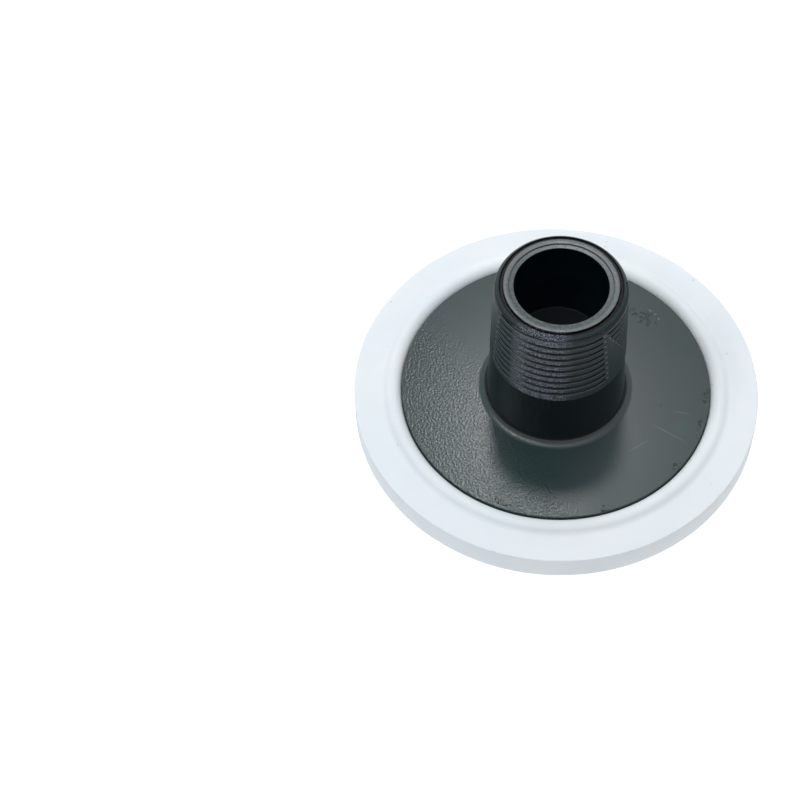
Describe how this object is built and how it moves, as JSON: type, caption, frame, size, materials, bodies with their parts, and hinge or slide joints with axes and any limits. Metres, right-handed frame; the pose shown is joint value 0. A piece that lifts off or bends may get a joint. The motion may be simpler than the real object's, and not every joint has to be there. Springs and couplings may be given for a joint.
{
  "type": "coarse bubble aerator",
  "caption": "Round coarse bubble aerator: black plate with a hollow pipe-threaded stem, wrapped by a pale elastic cap with air holes in its face.",
  "frame": {"origin": "centre of the cap's face, which lies on the ground", "axes": "+Z along the stem, away from the face; the stem's mould split line runs 10 degrees clockwise from the X axis, seen from above"},
  "size_m": [0.083, 0.083, 0.04],
  "materials": {
    "black_moulding": "satin",
    "pale_silicone": "matte"
  },
  "bodies": {
    "root": {"threaded_base": "black_moulding", "membrane_cap": "pale_silicone"}
  },
  "joints": []
}
